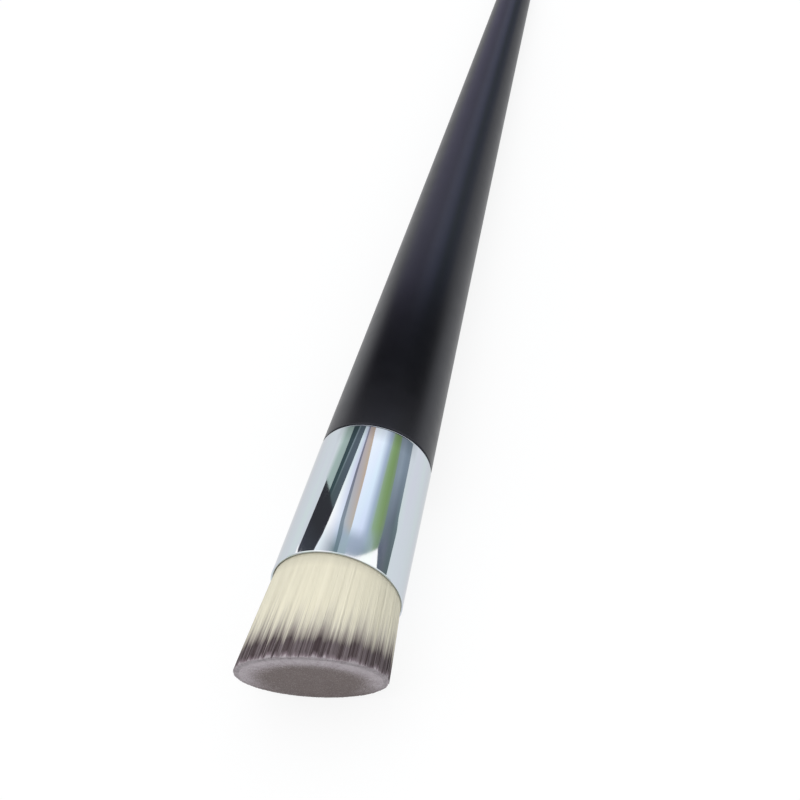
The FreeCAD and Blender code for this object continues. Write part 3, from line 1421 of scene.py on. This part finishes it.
    def grid_place(self, vert: bmesh.types.BMVert, stations: list[Station]) -> tuple[Station, float]:
        """Where a point of a flat unit grid belongs on a card.

        Args:
            vert: The point, before it is moved to the drum.
            stations: Stations that the card passes.

        Returns:
            The point's station and its share of the way across the card.
        """
        return stations[round((vert.co.x + 0.5) * (len(stations) - 1))], vert.co.y + 0.5

    def round_brush(self, x: float, angle: float, radius: float) -> tuple[float, float, float]:
        """A point at an angle and a radius round the brush's axis."""
        return x, radius * math.sin(angle), radius * math.cos(angle)

    def hang_flag(self, axis: BrushAxis) -> None:
        """Hangs a bent black flag over the front of the handle, seen only in reflections: a painted dark
        reflection that keeps that part of the lacquer deep.

        Args:
            axis: Where the brush lies.
        """
        bm = bmesh.new()
        bmesh.ops.create_grid(bm, x_segments=self.flag_steps, y_segments=self.flag_steps, size=0.5)
        cover = bm.verts.layers.float.new("cover")
        rear, front = self.flag_ends
        for vert in bm.verts:
            along, across = 2 * vert.co.x, 2 * vert.co.y
            end_cover = min(1, self.flag_end_cover * (1 - abs(along)))
            vert[cover] = end_cover * min(1, self.flag_side_cover * (1 - abs(across)))
            x = (rear + front) / 2 + along * (front - rear) / 2
            vert.co = self.round_brush(x, across * self.flag_spread, self.flag_radius)
        self.stand(bm, "black_flag", axis, self.netting())

    def netting(self) -> bpy.types.Material:
        """Makes the flag's material.

        Returns:
            Black netting, thinner where its cover is less.
        """
        material = bpy.data.materials.new("black_netting")
        tree = empty_tree(material)
        cover = tree.nodes.new("ShaderNodeAttribute")
        cover.attribute_name = "cover"
        black = tree.nodes.new("ShaderNodeBsdfDiffuse")
        black.inputs["Color"].default_value = (0, 0, 0, 1)
        show_either(tree, cover.outputs["Fac"], tree.nodes.new("ShaderNodeBsdfTransparent"), black)
        return material

    def stand(self, bm: bmesh.types.BMesh, name: str, axis: BrushAxis, material: bpy.types.Material) -> None:
        """Puts a card into the scene, so that only reflections show it.

        Args:
            bm: The card, in the brush's own axes; it is freed.
            name: The card's name.
            axis: Where the brush lies.
            material: The card's material.
        """
        mesh = bpy.data.meshes.new(name)
        bm.transform(axis.matrix())
        bm.to_mesh(mesh)
        bm.free()
        piece = placed(mesh, name, material)
        for kind in ("camera", "diffuse", "shadow", "transmission", "volume_scatter"):
            setattr(piece, "visible_" + kind, False)

    def glowing(self) -> bpy.types.Material:
        """Makes the cards' material, once.

        Returns:
            A material that shows the colour that a card carries.
        """
        if "reflector_card" in bpy.data.materials:
            return bpy.data.materials["reflector_card"]
        material = bpy.data.materials.new("reflector_card")
        tree = empty_tree(material)
        colour = tree.nodes.new("ShaderNodeAttribute")
        colour.attribute_name = "glow"
        light = tree.nodes.new("ShaderNodeEmission")
        tree.links.new(colour.outputs["Color"], light.inputs["Color"])
        show(tree, light.outputs["Emission"])
        return material

    def lay_floor(self) -> None:
        """Plain pale floor that keeps the brush's soft shadow."""
        bm = bmesh.new()
        bmesh.ops.create_grid(bm, x_segments=1, y_segments=1, size=self.floor_size / 2)
        mesh = bpy.data.meshes.new("floor")
        bm.to_mesh(mesh)
        bm.free()
        desk = NodeDesk("pale_floor")
        desk.set(Base_Color=self.floor_colour, Roughness=self.floor_roughness, Specular_IOR_Level=0.0)
        part = desk.add("ShaderNodeMath", operation="MULTIPLY")
        part.inputs[1].default_value = self.floor_glow
        desk.link(seen_rays(desk.tree), part.inputs[0])
        show_either(desk.tree, part.outputs[0], desk.shader, desk.add("ShaderNodeEmission"))
        placed(mesh, "floor", desk.material)

    def light(self, axis: BrushAxis) -> None:
        """Even pale surroundings and one large soft lamp.

        Args:
            axis: Where the brush lies.
        """
        world = bpy.data.worlds.new("studio")
        bpy.context.scene.world = world
        tree = empty_tree(world)
        seen, around = (tree.nodes.new("ShaderNodeBackground") for _ in range(2))
        seen.inputs["Color"].default_value = (1, 1, 1, 1)
        around.inputs["Color"].default_value = self.around_colour
        around.inputs["Strength"].default_value = self.around_strength
        show_either(tree, seen_rays(tree), around, seen)
        lamp = bpy.data.lights.new("soft_lamp", "AREA")
        lamp.size = self.lamp_size
        lamp.energy = self.lamp_power
        lamp.color = self.lamp_colour
        holder = bpy.data.objects.new("soft_lamp", lamp)
        holder.location = axis.mouth + Vector(self.lamp_offset)
        holder.rotation_euler = (axis.mouth - holder.location).to_track_quat("-Z", "Y").to_euler()
        holder.visible_glossy = False
        bpy.context.scene.collection.objects.link(holder)

    def set_camera(self, axis: BrushAxis) -> None:
        """Camera looking down on the tuft from the front.

        Args:
            axis: Where the brush lies.
        """
        level = Vector((math.sin(self.camera_azimuth), -math.cos(self.camera_azimuth), 0))
        back = level * math.cos(self.camera_elevation) + Vector((0, 0, math.sin(self.camera_elevation)))
        lens = bpy.data.cameras.new("camera")
        lens.lens = self.lens
        lens.sensor_width = self.sensor
        lens.clip_start = self.clip_start
        camera = bpy.data.objects.new("camera", lens)
        camera.location = axis.place(*self.aim) + back * self.camera_distance
        camera.rotation_mode = "QUATERNION"
        roll = Quaternion((0, 0, 1), self.camera_roll)
        camera.rotation_quaternion = (-back).to_track_quat("-Z", "Y") @ roll
        bpy.context.scene.collection.objects.link(camera)
        bpy.context.scene.camera = camera

    def build(self, axis: BrushAxis) -> None:
        """Sets up the studio.

        Args:
            axis: Where the brush lies.
        """
        bpy.context.scene.view_settings.view_transform = "Standard"
        self.set_camera(axis)
        self.lay_floor()
        self.light(axis)
        cards = self.cards()
        for card in cards:
            self.hang(card, axis, BrightPlating().colour[:3])
        self.hang_flag(axis)
        log.info("studio: %d cards", len(cards))


def main() -> None:
    """Builds the brush, from tail to tip, and the studio round it."""
    logging.basicConfig(level=logging.INFO, format="%(name)s %(message)s")
    ferrule = Ferrule()
    axis = BrushAxis.from_record(frame["record"], ferrule.length)
    Handle().build(axis, ferrule)
    ferrule.build(axis)
    Tuft().build(axis)
    HiddenPieces().dress()
    Studio().build(axis)


if __name__ == "__main__":
    main()
